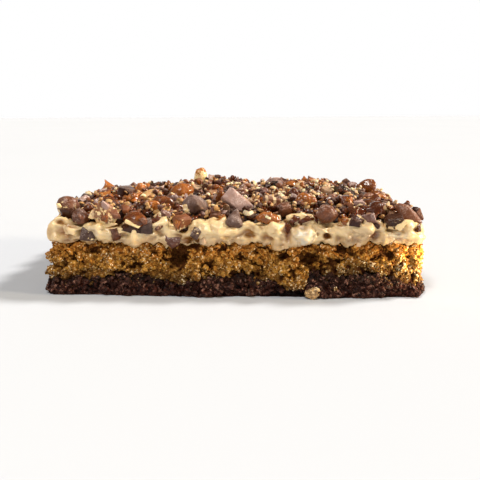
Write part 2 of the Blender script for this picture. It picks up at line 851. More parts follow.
@dataclass
class CrumbLayer:
    """A baked layer: its solid, cut finer on its sides, with crumb in and out of the cut face."""

    node: str
    name: str
    slot: str
    finish: CrumbFinish
    marks: tuple[Mark, ...]
    cuts: int
    clump_size: float
    clump_depth: float
    crack_depth: float
    pit_depth: float
    crumbs: int
    crumb_small: float
    crumb_large: float
    rare_large: float
    seed: int
    lifts: tuple[Mark, ...] = ()
    strays: int = 0
    stray_above: float = 0.0
    clinging: tuple[tuple[float, float, float], ...] = ()
    jitter: float = 0.26 * MM
    jitter_size: float = 0.8 * MM
    ragged: float = 1.3 * MM
    ragged_size: float = 1.4 * MM
    steepest: float = 0.8
    crumb_kinds: int = 14
    rare_share: float = 0.03
    rare_within: float = 58 * MM

    def relief(self, point: Vector) -> float:
        """How far the crumb stands out.

        Args:
            point: A point of a cut face.

        Returns:
            The distance, in metres.
        """
        size = self.clump_size
        place = point + Vector((17.3, 5.1, 9.7)) * self.seed * MM * 10
        lumps = clumps(place, ((1.0, size), (0.55, size * 0.45), (0.3, size * 0.22)))
        lumps += 0.55 * noise.noise(place / (size * 2.2))
        cracks = 0.7 * crack(place, size * 2.4) + 0.8 * crack(place, size)
        pits = max(0.0, noise.noise(place / (size * 0.9) + Vector((4, 8, 2))) - 0.28) * 4.0
        return self.clump_depth * lumps - self.crack_depth * cracks - self.pit_depth * min(1.0, pits)

    def build(self) -> Shape:
        """The finely cut layer, with its relief kept as a number at each point.

        Returns:
            The shape.
        """
        shape = merged_copy(self.node)
        shape.normal_update()
        refine(shape, [face for face in shape.faces if abs(face.normal.z) < self.steepest], self.cuts)
        level = shape.verts.layers.float.new(RELIEF)
        shape.normal_update()
        for vert in shape.verts:
            flat = Vector((vert.normal.x, vert.normal.y, 0.0))
            vert.co.z += seam_lift(vert.co)
            if flat.length < 0.3:
                continue
            ragged = vert.co + noise.noise_vector(vert.co / self.ragged_size) * self.ragged
            out = self.relief(vert.co) + marked(self.marks, ragged)
            vert[level] = LEVEL_TONE + 0.5 * out / self.clump_depth
            foot = vert.co.z
            jitter = noise.noise_vector(vert.co / self.jitter_size) * self.jitter
            vert.co += flat.normalized() * out + jitter
            vert.co.z = foot if foot < WELD else max(0.0, vert.co.z)
            vert.co.z += marked(self.lifts, vert.co)
        return shape

    def cling(self, scatter: Scatter, draw: random.Random, shape: Shape, number: int, above: float) -> None:
        """Puts little angular crumbs on the sides of a layer.

        Args:
            scatter: The joined shape, which gets them.
            draw: The source of chance.
            shape: The layer that they cling to.
            number: How many there are.
            above: The height above which they lie.
        """
        level = shape.verts.layers.float[RELIEF]
        shape.normal_update()
        sites = [vert for vert in shape.verts if abs(vert.normal.z) < 0.85 and vert.co.z > above]
        kinds = [lump(draw, 1, (2.3, 0.34)) for _ in range(self.crumb_kinds)]
        for _ in range(number):
            vert = draw.choice(sites)
            if vert[level] < 0.1 and draw.random() < 0.55:
                continue
            size = self.crumb_small + (self.crumb_large - self.crumb_small) * draw.random() ** 1.8
            if draw.random() < self.rare_share and abs(vert.co.x) < self.rare_within:
                size = self.rare_large * draw.uniform(0.7, 1.0)
            turn = Euler([draw.uniform(0, math.tau) for _ in range(3)])
            place = vert.co + vert.normal * size * draw.uniform(-0.2, 0.18)
            place.z = max(place.z, size * 0.62)
            scale = (size, size * draw.uniform(0.55, 1.0), size * draw.uniform(0.55, 1.0))
            tone = min(1.0, vert[level] + draw.uniform(-0.1, 0.38))
            scatter.add(draw.choice(kinds), placed(place, turn, scale), tone)

    def dress(self, below: Piece | None = None) -> Piece:
        """Makes the layer and its crumbs.

        Args:
            below: The layer below, on whose upper rim some crumbs have strayed.

        Returns:
            The layer.
        """
        shape = self.build()
        draw = random.Random(self.seed)
        scatter = Scatter(RELIEF)
        self.cling(scatter, draw, shape, self.crumbs, 0.0)
        if below:
            lower = bmesh.new()
            lower.from_mesh(below.data)
            self.cling(scatter, draw, lower, self.strays, self.stray_above)
        for x, y, size in self.clinging:
            scale = (size, size * 0.72, size * 0.74)
            crumb = lump(draw, 4, (1.9, 0.2), (7.0, 0.12))
            scatter.add(crumb, placed(Vector((x, y, size * 0.42)), Euler(), scale), LOOSE_TONE)
        finish = (self.finish.material(), self.node, self.slot)
        made_piece(scatter.shape, self.name + "_grains", *finish, smooth=False)
        return made_piece(shape, self.name, *finish)


# The icing


ICING_LOBES = (
    (-55.2, -29.8, 22.3, 6.4, 4), (-56.4, -24, 22.4, 5.4, 3.2), (-50.6, -32, 21.4, 8, 3.6),
    (-44, -32.6, 22, 7, 3), (-36, -32.2, 21.2, 8, 3), (-23.6, -31, 22.2, 7.4, 4),
    (-22.4, -29, 24.4, 4.6, 2.8), (-15.6, -23.6, 25.6, 4.2, 4), (-10.4, -31.6, 22.6, 6.4, 3.4),
    (-5.2, -31, 22.8, 8.6, 4.4), (5.6, -31.8, 22.2, 8, 3.8), (13.6, -32.4, 21.4, 6.6, 4.2),
    (19.6, -30.2, 24.4, 6, 3.6), (23.6, -29.6, 24.6, 5.4, 3.2), (21.8, -32.8, 20.8, 7.4, 5.4),
    (34.6, -32, 22.4, 7, 4), (40.4, -31.8, 22.6, 8.6, 4.6), (45.6, -31.2, 22.4, 6, 3.8),
    (54.8, -31, 22.2, 6.2, 3.8), (57.2, -26, 22.2, 5.6, 3.4),
)
ICING_MARKS = (
    Mark(-54.4, 21.6, 3, 3.2, -1.7), Mark(-55.4, 18.9, 2.8, 0.9, 1, -12),
    Mark(-46.5, 17.8, 3.2, 0.6, 1, -12), Mark(-41.5, 19.4, 2.2, 2, 0.7), Mark(-31.6, 19, 5, 1.6, -0.8),
    Mark(-25, 19.6, 2.4, 0.6, 0.7, 24), Mark(-22, 18.6, 2.6, 0.5, 0.7, -30),
    Mark(-13, 17.4, 3, 1.5, -2.3), Mark(-16.4, 19.2, 1.8, 1.4, -0.7),
    Mark(-10.8, 19.8, 2.6, 0.5, 0.9, -50), Mark(-4.6, 22.2, 2.8, 1.8, 1), Mark(-1, 19.6, 5, 0.7, -0.8, 6),
    Mark(5.8, 20.6, 1.9, 2.4, -1.3), Mark(9, 21, 0.9, 0.8, 0.8), Mark(10.8, 18.4, 2, 1.9, -1.5, 20),
    Mark(14, 18.8, 1.1, 4.4, 1.1), Mark(17.8, 20, 0.9, 3.2, -1.2), Mark(22, 19.6, 3, 2.2, 0.8),
    Mark(29.8, 19.7, 1.1, 0.8, -3.2, -20), Mark(26.6, 20.4, 0.5, 0.5, -1.6),
    Mark(28.4, 21.6, 3.2, 0.5, 0.8, -30), Mark(32.9, 18.8, 1, 2.2, -1), Mark(36, 19, 1.6, 3, 1, -12),
    Mark(40.6, 20.6, 3.2, 2.6, 0.9), Mark(44.8, 19.6, 1.8, 1.4, -1.2),
    Mark(47.2, 19.8, 0.8, 2.4, 0.9, 10), Mark(51, 18.8, 2.6, 1.4, -0.7),
    Mark(54.8, 22, 0.9, 1.8, 1.2, -18), Mark(58.4, 19, 2.2, 0.8, 0.9),
)
ICING_STAINS = (
    Mark(17.2, 21, 1.1, 3, 1, 8), Mark(44.2, 19.8, 1.7, 1.4, 0.8, 20), Mark(-36.4, 17.8, 4, 0.6, 0.35),
    Mark(-50.6, 17.8, 3.6, 0.8, 0.6), Mark(29.8, 19.7, 1, 0.8, 0.9, -20),
    Mark(-12, 20.8, 1.6, 0.7, 0.9, -50), Mark(-2, 18.2, 6, 0.6, 0.4), Mark(-44.6, 20, 1.6, 1.8, 0.6),
    Mark(40.6, 20.2, 5.6, 2.6, 0.5), Mark(36, 18.6, 3, 1.2, 0.4),
)
ICING_SMEARS = (
    Mark(22.2, 20, 3.4, 3, 1), Mark(51.4, 19.2, 3, 1.8, 0.9), Mark(-44, 20.8, 2.6, 1.6, 0.7),
    Mark(-27, 19.8, 2.2, 0.8, 0.6),
)


@dataclass
class IcingLayer:
    """The whipped icing: its solid with lobes pushed up along the rim, as one soft skin."""

    node: str = "icing_layer"
    voxel: float = 0.45 * MM
    lobes: int = 54
    seed: int = 5
    cup_size: float = 6.0 * MM
    cup_depth: float = 2.6 * MM
    ridge_size: float = 2.2 * MM
    ridge_depth: float = 0.6 * MM
    bubble_depth: float = 0.9 * MM
    rim_inset: float = 3.2 * MM
    sole: float = 4.0 * MM
    most_out: float = 1.8 * MM
    ends_from: float = 52 * MM
    ends_flatter: float = 0.18
    front_lobes: tuple[tuple[float, ...], ...] = ICING_LOBES
    marks: tuple[Mark, ...] = ICING_MARKS
    stains: tuple[Mark, ...] = ICING_STAINS
    smears: tuple[Mark, ...] = ICING_SMEARS

    def add_lobes(self, shape: Shape) -> None:
        """Adds soft lobes along the rim, those in front at places of their own.

        Args:
            shape: The shape that gets them.
        """
        draw = random.Random(self.seed)
        low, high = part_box(self.node)
        balls = []
        for x, y, z, long, tall in self.front_lobes:
            lean = Euler([draw.uniform(-most, most) for most in (0.3, 0.25, 0.3)])
            balls.append(placed(Vector((x, y, z)) * MM, lean, (long * MM, 0.6 * long * MM, tall * MM)))
        half = (high - low) / 2 - Vector((self.rim_inset, self.rim_inset, 0))
        middle = (high + low) / 2
        for number in range(self.lobes):
            angle = math.tau * (number + draw.uniform(-0.3, 0.3)) / self.lobes
            cos, sin = math.cos(angle), math.sin(angle)
            reach = min(half.x / max(abs(cos), 1e-6), half.y / max(abs(sin), 1e-6))
            place = middle + Vector((cos, sin, 0)) * reach
            place.z = high.z - draw.uniform(0.2, 1.4) * MM
            size = draw.uniform(3.0, 6.5) * MM
            if place.y > FRONT_FACE:
                turn = Euler((draw.uniform(-0.4, 0.4), draw.uniform(-0.5, 0.5), draw.uniform(0, math.tau)))
                scale = (size, size * draw.uniform(0.5, 0.75), size * draw.uniform(0.45, 0.65))
                balls.append(placed(place, turn, scale))
        for ball in balls:
            bmesh.ops.create_icosphere(shape, subdivisions=3, radius=0.5, matrix=ball)

    def build(self) -> Shape:
        """The icing as one skin, with its relief and its stains kept at each point.

        Returns:
            The shape.
        """
        shape = merged_copy(self.node)
        self.add_lobes(shape)
        skin = voxel_remeshed(shape, self.voxel)
        soften(skin, 1)
        level, stain, milky = [skin.verts.layers.float.new(name) for name in (RELIEF, STAIN, MILKY)]
        skin.normal_update()
        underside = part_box(self.node)[0].z + self.sole
        for vert in skin.verts:
            vert.co.z += seam_lift(vert.co)
            vert[stain] = marked(self.stains, vert.co) / MM
            vert[milky] = marked(self.smears, vert.co) / MM
            vert[level] = LEVEL_TONE
            if abs(vert.normal.z) > 0.8 and vert.co.z < underside:
                continue
            at_end = max(0.0, abs(vert.co.x) - self.ends_from)
            out = min(self.relief(vert.co), self.most_out - self.ends_flatter * at_end)
            forms = marked(self.marks, vert.co)
            vert[level] = LEVEL_TONE + (0.32 * out + 0.24 * forms) / MM
            flat = Vector((vert.normal.x, vert.normal.y, 0.0))
            vert.co += vert.normal * out + flat * forms
        return skin

    def relief(self, point: Vector) -> float:
        """How far the icing is cupped, ridged or pitted.

        Args:
            point: A point of the skin.

        Returns:
            How far it stands out, in metres.
        """
        stroke = Vector((point.x * 0.8, point.y * 0.8, point.z * 1.15))
        warped = stroke / self.cup_size + noise.noise_vector(point / (4.0 * MM)) * 0.45
        cup = noise.voronoi(warped)[0][0] ** 2 - 0.22
        dragged = Vector((point.x * 0.6 + point.z * 0.5, point.y * 0.6, point.z * 1.4)) / self.ridge_size
        ridge = 0.5 - abs(noise.noise(dragged + Vector((3, 1, 7)))) * 2.4
        small = noise.noise(point / (1.1 * MM)) + 0.5 * noise.noise(point / (0.6 * MM))
        bubble = max(0.0, 0.2 - noise.voronoi(point / (4.0 * MM))[0][0]) * 5.0
        ridges = self.ridge_depth * (ridge + 0.35 * small)
        return self.cup_depth * cup + ridges - self.bubble_depth * min(1.0, bubble)

    def dress(self) -> Piece:
        """Makes the icing, for others to sit on."""
        return made_piece(self.build(), "whipped_icing", IcingFinish().material(), self.node, "icing")


# The large sweets


class Cut(Enum):
    """How a large sweet's edges are kept, with the depth and size of its roughness in millimetres."""

    BROKEN = (0.2, 1.3)
    ROUNDED = (0.22, 2.2)
    LUMPY = (0.3, 1.1)


@dataclass(frozen=True)
class LargeSweet:
    """One of the sweets that are as large as berries, refined from its own solid."""

    node: str
    sweet: Sweet
    cut: Cut
    tint: float = 0.5
    cream: float = 0.0
    flattest: float = math.radians(4)
    sharp: float = math.radians(25)
    wear: float = 0.28 * MM

    def build(self) -> Shape:
        """The solid with finer faces, worn edges and a rough skin.

        Returns:
            The shape.
        """
        shape = merged_copy(self.node)
        bmesh.ops.dissolve_limit(shape, angle_limit=self.flattest, verts=shape.verts, edges=shape.edges)
        if self.cut is Cut.BROKEN:
            sharp = [edge for edge in shape.edges if edge.calc_face_angle(0.0) > self.sharp]
            worn(shape, sharp, self.wear, segments=2)
        bmesh.ops.triangulate(shape, faces=shape.faces)
        refine(shape, shape.faces, 4)
        if self.cut is not Cut.BROKEN:
            soften(shape, 8)
        depth, size = (length * MM for length in self.cut.value)
        tone = shape.verts.layers.float.new(TINT)
        cream = shape.verts.layers.float.new(CREAM)
        low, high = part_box(self.node)
        shape.normal_update()
        for vert in shape.verts:
            vert[tone] = self.tint
            vert[cream] = self.cream * (1.0 - 0.45 * (vert.co.z - low.z) / (high.z - low.z))
            out = noise.noise(vert.co / size) + 0.5 * noise.noise(vert.co / (size * 0.35))
            out += 0.3 * noise.noise(vert.co / (size * 0.15))
            if self.cut is Cut.LUMPY:
                out += 2.2 * clump(vert.co, 1.9 * MM)
            vert.co += vert.normal * depth * out
        bmesh.ops.recalc_face_normals(shape, faces=shape.faces)
        return shape

    def dress(self, finishes: dict[Sweet, Material]) -> Piece:
        """Makes the piece, and gives it back."""
        slot = SWEET_FINISHES[self.sweet].slot
        return made_piece(self.build(), self.node + "_sweet", finishes[self.sweet], self.node, slot)


LARGE_SWEETS = (
    LargeSweet("corner_chocolate_left", MILK, Cut.ROUNDED, 0.55, 0.6),
    LargeSweet("nutty_chunk_left", MILK, Cut.LUMPY, 0.5, 0.5),
    LargeSweet("nougat_chunk_left", NOUGAT, Cut.BROKEN, 0.25, 0.68),
    LargeSweet("caramel_chunk_left", CARAMEL, Cut.ROUNDED, 0.3, 0.5),
    LargeSweet("glazed_nut_oval", CARAMEL, Cut.ROUNDED, 0.25),
    LargeSweet("glazed_nut_round", CARAMEL, Cut.ROUNDED, 0.6),
    LargeSweet("chocolate_chip", BLOOMED, Cut.ROUNDED, 0.6),
    LargeSweet("tan_chunk_front", NOUGAT, Cut.BROKEN, -0.1, 0.6),
    LargeSweet("chocolate_chip_front", BLOOMED, Cut.ROUNDED, 0.5, 0.4),
    LargeSweet("chopped_slice", CUT, Cut.BROKEN, 0.95),
    LargeSweet("caramel_strip_front", CARAMEL, Cut.LUMPY, 0.6, 0.3),
    LargeSweet("layered_block", LAYERED, Cut.BROKEN, 0.5),
    LargeSweet("cocoa_wedge", MILK, Cut.BROKEN, 0.5),
    LargeSweet("caramel_nut_cluster", CARAMEL, Cut.LUMPY, 0.6),
    LargeSweet("chocolate_nut_right", MILK, Cut.LUMPY, 0.6, 0.3),
    LargeSweet("dark_chunk_right", DARK, Cut.BROKEN, 0.6, 0.6),
    LargeSweet("long_nut_right", MILK, Cut.ROUNDED, 0.8, 0.3),
    LargeSweet("caramel_block_back", CARAMEL, Cut.BROKEN, 0.4),
    LargeSweet("peak_nut", CARAMEL, Cut.LUMPY, 0.9, 0.88),
)


# The heap of sweets


@dataclass(frozen=True)
class Mound:
    """The heap's general height over the bar, as its solid has it. Places are from the bar's middle.

    Each rise has its place, its width and its height, in millimetres.
    """

    length: float = 120 * MM
    depth: float = 66 * MM
    foot: float = 23.1 * MM
    top: float = 24.7 * MM
    rim_drop: float = 1.0 * MM
    front_setback: float = 2.4 * MM
    rises: tuple[tuple[float, ...], ...] = (
        (-16, 21, 10, 3.6), (20, 14, 16, 1.2), (44, 20, 10, 1.1), (-40, 6, 12, 0.8), (-38, 25, 5, 1.2),
        (-51, 22, 7, -1.6), (2, 28, 12, 1.9), (29, 28, 13, 1.5), (58, 17, 8, -2.6), (57, -2, 9, -3),
        (-8, 27, 6, 1.2),
    )

    def height(self, x: float, y: float) -> float:
        """The height of the bare heap.

        Args:
            x: The place.
            y: The place.

        Returns:
            The height, in metres.
        """
        lift = sum(
            rise * MM * math.exp(-((math.hypot(x - at_x * MM, y - at_y * MM) / (width * MM)) ** 2))
            for at_x, at_y, width, rise in self.rises
        )
        edge = max(abs(2 * x / self.length) ** 8, abs(2 * y / self.depth) ** 6)
        height = self.top + lift - self.rim_drop * min(1.0, edge)
        return height if y > self.front(1.5 * MM) else self.foot

    def front(self, inset: float) -> float:
        """The place of the heap's front edge, for an inset from the bar's outline."""
        return (inset - self.depth / 2) + self.front_setback


@dataclass(frozen=True)
class Lattice:
    """The uneven lattice of small pieces that the solid heap has fused on."""

    seed: int = 41
    rows: int = 10
    columns: int = 17
    inset: float = 2.1 * MM
    disorder: float = 0.32
    smallest: float = 5.2 * MM
    largest: float = 8.6 * MM

    def sites(self, mound: Mound) -> Iterator[tuple[float, float, float, float]]:
        """Where the pieces lie.

        Args:
            mound: The heap's general height.

        Yields:
            Each piece's place from the bar's middle, size and turn.
        """
        draw = random.Random(self.seed)
        span_x, span_y = mound.length - 2 * self.inset, mound.depth - 2 * self.inset
        for row in range(self.rows):
            for column in range(self.columns):
                shift = 0.25 if row % 2 else -0.25
                x = ((column + 0.5 + shift) / self.columns - 0.5) * span_x
                y = ((row + 0.5) / self.rows - 0.5) * span_y
                x += draw.uniform(-1, 1) * self.disorder * span_x / self.columns
                y += draw.uniform(-1, 1) * self.disorder * span_y / self.rows
                size = self.smallest + (self.largest - self.smallest) * draw.random() ** 1.6
                yield x, y, size, draw.uniform(0, math.tau)


class HeapField:
    """Heights of the heap on a fine grid, so that each sweet comes to rest on what lies below it."""

    def __init__(self, mound: Mound, cell: float = 0.4 * MM) -> None:
        """Starts with the bare mound.

        Args:
            mound: The heap's general height.
            cell: The grid's pitch.
        """
        self.cell = cell
        self.origin = Vector((-mound.length / 2 - 4 * MM, -mound.depth / 2 - 4 * MM))
        self.columns, self.rows = (int(-2 * side / cell) for side in self.origin)
        across = [self.origin.x + column * cell for column in range(self.columns)]
        along = [self.origin.y + row * cell for row in range(self.rows)]
        self.heights = np.array([[mound.height(x, y) for x in across] for y in along])

    def patch(self, x: float, y: float, reach: float) -> tuple[tuple[slice, slice], np.ndarray]:
        """The part of the grid round a place.

        Args:
            x: The place.
            y: The place.
            reach: Its radius.

        Returns:
            The rows and columns, and each cell's distance from the place in radii.
        """
        column, row = (x - self.origin.x) / self.cell, (y - self.origin.y) / self.cell
        steps = reach / self.cell
        rows = slice(max(0, int(row - steps)), min(self.rows, int(row + steps) + 2))
        columns = slice(max(0, int(column - steps)), min(self.columns, int(column + steps) + 2))
        across = np.arange(columns.start, columns.stop) - column
        along = np.arange(rows.start, rows.stop) - row
        return (rows, columns), np.hypot(across[None, :], along[:, None]) / max(steps, 0.5)

    def rest(self, x: float, y: float, reach: float, settle: float) -> float:
        """The height at which a piece comes to rest.

        Args:
            x: The place.
            y: The place.
            reach: The piece's radius.
            settle: 0 for the deepest spot below it, 100 for the highest.

        Returns:
            The height of its underside.
        """
        cells, away = self.patch(x, y, reach)
        under = self.heights[cells][away <= 1.0]
        return float(np.percentile(under, settle)) if under.size else float(self.heights.min())

    def cover(self, x: float, y: float, reach: float, foot: float, top: float) -> None:
        """Raises the grid under a domed piece.

        Args:
            x: The place.
            y: The place.
            reach: The piece's radius.
            foot: The height of its rim.
            top: The height of its top.
        """
        cells, away = self.patch(x, y, reach)
        dome = foot + (top - foot) * np.sqrt(np.clip(1.0 - away**2, 0.0, 1.0))
        grid = self.heights[cells]
        np.copyto(grid, np.where(away <= 1.0, np.maximum(grid, dome), grid))


@dataclass(frozen=True)
class Batch:
    """A share of the little pieces: how many, how large in millimetres, and of what."""

    sweet: Sweet
    count: int
    smallest: float
    largest: float
    settle: float


@dataclass(frozen=True)
class Bit:
    """One sweet with a place of its own, in millimetres from the bar's middle. Turns are in degrees."""

    sweet: Sweet
    x: float
    y: float
    long: float
    deep: float
    tall: float
    tint: float = 0.5
    turn: float = 0.0
    lean: float = 0.0
    roll: float = 0.0
    cream: float = 0.0

    def matrix(self, middle: Vector) -> Matrix:
        """The bit's place, turn and size, for a place of its middle."""
        turn = Euler((math.radians(self.lean), math.radians(self.roll), math.radians(self.turn)))
        return placed(middle, turn, (self.long * MM, self.deep * MM, self.tall * MM))


HEAP_BITS = (
    Bit(DARK, -48.7, -26.4, 4, 3.2, 2.6, 0.4, 10),
    Bit(NOUGAT, -48.9, -18.6, 3.8, 3, 3, 0.9, 20, 0, 0, 0.4),
    Bit(CARAMEL, -47.6, -14.6, 2.8, 2.6, 2.6, 0.8), Bit(PEANUT, -42.4, -18.6, 2.2, 2, 2.2, 1),
    Bit(DARK, -37.2, -18.6, 3, 2.6, 2.8, 0.7, -30), Bit(CARAMEL, -36, -9, 6.8, 4.4, 3.6, 0.9, 20),
    Bit(CARAMEL, -37, 3.6, 3.3, 3.3, 6.6, 0.8, 10, -8),
    Bit(NOUGAT, -42.6, 5.4, 4.8, 4, 4.8, 0.6, 30, 0, 0, 0.5), Bit(CARAMEL, -44.4, 9, 3.6, 3, 3.6, 0.6),
    Bit(CARAMEL, -29.4, -21, 7.6, 4, 4.2, 0.75, -24, 0, 0, 0.35),
    Bit(MILK, -21.2, -28.4, 3.8, 3, 2.8, 0.8, 10), Bit(CARAMEL, -18.3, -24.8, 3.2, 2.8, 4.6, 0.1),
    Bit(CUT, -32.7, 9.4, 3.8, 3.2, 3.4, 0.8, 40), Bit(CARAMEL, -25.4, 13.4, 4, 3.4, 3.6, 0.7),
    Bit(MILK, -9.4, 23.4, 3.4, 3.2, 4.4, 0.3, 15),
    Bit(NOUGAT, -6, 24.4, 3.6, 3.2, 3.6, 0.9, 40, 0, 0, 0.5),
    Bit(CARAMEL, -5.2, -10.4, 4.2, 4, 7, 0.35, 20, 10), Bit(CARAMEL, -5.4, -3.4, 4.4, 3, 2.8, 0.6, 10),
    Bit(CARAMEL, -0.2, 7.4, 4.4, 3.4, 3.2, 1), Bit(MILK, -6.1, -28.8, 4.4, 3, 2.8, 0.6, -25),
    Bit(CARAMEL, -3.8, -30.4, 3, 2.4, 2.6, 0.8), Bit(CUT, -2.4, -26.8, 2.8, 2.4, 2.2, 1, 30),
    Bit(PEANUT, 2.9, 1.4, 2.2, 2.2, 2.8, 1), Bit(PEANUT, 5, -28.2, 3.6, 3.2, 3.4, 1, 15),
    Bit(MILK, 6.8, -29, 2.8, 2, 1.8, 0.8, -20), Bit(NOUGAT, 11.8, -5.6, 3.6, 3, 2.4, 0.9, cream=0.4),
    Bit(CUT, 15.1, -1, 4.4, 3.4, 2.8, 0.7, 20), Bit(PEANUT, 14.3, -30, 2.2, 2, 3.4, 0.9),
    Bit(PEANUT, 22.2, -17.6, 2.6, 2.4, 2.4, 1), Bit(CARAMEL, 29.4, -12.6, 2.2, 2, 2.2, 0.9),
    Bit(NOUGAT, 25.8, 17.4, 5, 3.6, 3.6, 0.9, cream=0.4), Bit(MILK, 29.6, 20.4, 4.8, 3.6, 3.6, 0.4, 30),
    Bit(CUT, 30.6, 3.4, 4.6, 3.8, 2.8, 0.6, 10), Bit(NOUGAT, 34.4, 11.4, 2.6, 2.4, 3.8, 1),
    Bit(CARAMEL, 32.2, -2.8, 3.8, 3.2, 3, 0.8, -20), Bit(CUT, 35.4, -10.8, 4.4, 3.6, 2.8, 0.9, -20),
    Bit(CARAMEL, 38.2, -17.8, 3, 2.6, 5.4, 1, 20, 10), Bit(CARAMEL, 35, -30.4, 2.8, 2.6, 2.4, 0.9),
    Bit(MILK, 38.7, -30.6, 4.2, 3, 3.2, 0.2, 25), Bit(CUT, 40.8, -22.8, 3.6, 3.2, 3.6, 0.8, 20),
    Bit(CUT, 42.8, -29.2, 4.8, 3.4, 3.2, 0.2, -12), Bit(CUT, 46.2, -26.8, 3.4, 3, 2.6, 0.7, -30),
    Bit(PEANUT, 35.8, -18.8, 2, 1.8, 1.8, 0.8), Bit(PEANUT, 48.9, -2.8, 3.2, 2.8, 3.4, 0.2),
    Bit(PEANUT, 50.1, -12.8, 2, 2, 2.8, 0.9), Bit(CUT, 38.1, -6.8, 3.2, 2.8, 2.6, 0.9),
    Bit(MILK, 44.3, -4.8, 4.4, 3.4, 3, 0.7, 30), Bit(CUT, 38.5, 26, 6.6, 4.6, 3.2, 0.5, 10, -8),
    Bit(MILK, 59.2, -25.4, 3.2, 3, 3.8, 0.6), Bit(NOUGAT, -44.8, 22, 5.4, 4.4, 4.8, 0.8, 20, 0, 0, 0.3),
    Bit(CUT, 14.4, 27.6, 4.2, 3.6, 4.4, 0.8, 30), Bit(CARAMEL, 27, 28, 4, 3.4, 4.6, 0.7),
)
FRONT_BITS = (
    Bit(DARK, -53.6, 25.8, 4.6, 3.2, 3.6, 0.7, 10, 0, 0, 0.3),
    Bit(NOUGAT, -56.2, 28, 2.2, 1.6, 1.8, 1, 30, 0, 0, 0.7),
    Bit(MILK, -37.2, 26.1, 3.2, 2.6, 3.2, 0.9, 8, 0, -12),
    Bit(CUT, -40.4, 28.8, 3, 2.4, 2.4, 0.7, 30, 20, 40, 0.3),
    Bit(NOUGAT, -44, 25.9, 2.4, 1.8, 3, 0.9, 20, 0, 30, 0.6),
    Bit(CARAMEL, -39.8, 25.6, 2.4, 1.8, 2.6, 0.4, 20, 0, 20),
    Bit(NOUGAT, -38.9, 23, 4.8, 2.4, 2.2, 1, 0, 0, 6, 0.9),
    Bit(BLOOMED, -45.8, 20.1, 4.6, 3.4, 5, 0.2, 12, -14, 8, 0.42),
    Bit(MILK, -37, 19.9, 4.6, 3.4, 4.2, 0.45, -15, -10, -12, 0.3),
    Bit(DARK, -31.8, 22, 6.8, 3.2, 2.2, 0.5, 0, 16, 16, 0.3),
    Bit(NOUGAT, -31, 23.4, 5.4, 1.8, 1.3, 1, 0, 10, 28, 0.8),
    Bit(BLOOMED, -27.3, 22.6, 4.2, 3.6, 5, 0.3, 10, 0, 0, 0.4),
    Bit(MILK, -27.8, 24.6, 3, 2.4, 2.4, 0.6, 40),
    Bit(CUT, -19.1, 17.5, 4.6, 3.4, 4.2, 0.1, 25, -12, 14, 0.2),
    Bit(CARAMEL, -16.8, 23.6, 1.8, 1.6, 3.2, 0.6, 20, 0, 24),
    Bit(DARK, -15, 21.8, 3.8, 2.4, 2.4, 0.5, 0, 0, 14, 0.3),
    Bit(BLOOMED, -11.2, 20.9, 2.6, 2, 3.8, 0.2, 20, -10, 34, 0.45),
    Bit(NOUGAT, -8.9, 18.5, 2.6, 2.2, 2.8, 0.9), Bit(PEANUT, 11.2, 25.3, 2, 1.8, 2.6, 0.9, 10, 0, 20),
    Bit(CARAMEL, 17.4, 21, 2.8, 2, 5, -0.5, 10, 0, 16, 0.25),
    Bit(CARAMEL, 19.4, 24.4, 3.4, 2, 2.2, -0.6, 10, 0, -24, 0.2),
    Bit(CARAMEL, 22.8, 24.2, 5.2, 2, 1.8, -0.6, 10, 0, -14, 0.2),
    Bit(CARAMEL, 26.4, 23.6, 1.8, 1.6, 3.8, -0.6, 10, 0, -24, 0.3),
    Bit(MILK, 38.6, 24.6, 4.4, 3, 4, 0.1, 12, 0, 10), Bit(CUT, 42.4, 24.8, 4.4, 3, 3.4, 0.3, -16, 0, -14),
    Bit(DARK, 44.6, 23.2, 2.4, 2, 2.2, 0.6, 0, 0, 20, 0.3),
    Bit(CUT, -21.4, 25.6, 3.6, 2.4, 3, 0.2, 20, 0, 20),
    Bit(CARAMEL, -23.8, 24.2, 2.6, 1.8, 3.4, 0.2, 20, 0, 24, 0.3),
    Bit(MILK, -22.8, 22.4, 2.4, 1.8, 2, 0.5, 40, 0, 0, 0.4), Bit(CARAMEL, 35, 24.1, 2.1, 2, 2.1),
    Bit(CARAMEL, 57.9, 21.8, 1.6, 1.6, 2.6, 0), Bit(NOUGAT, 52.2, 23.4, 2.6, 1.6, 3.6, 1, 0, 0, 30, 0.8),
    Bit(NOUGAT, 39.4, 17.2, 1.6, 1.2, 1.4, 0.9),
)


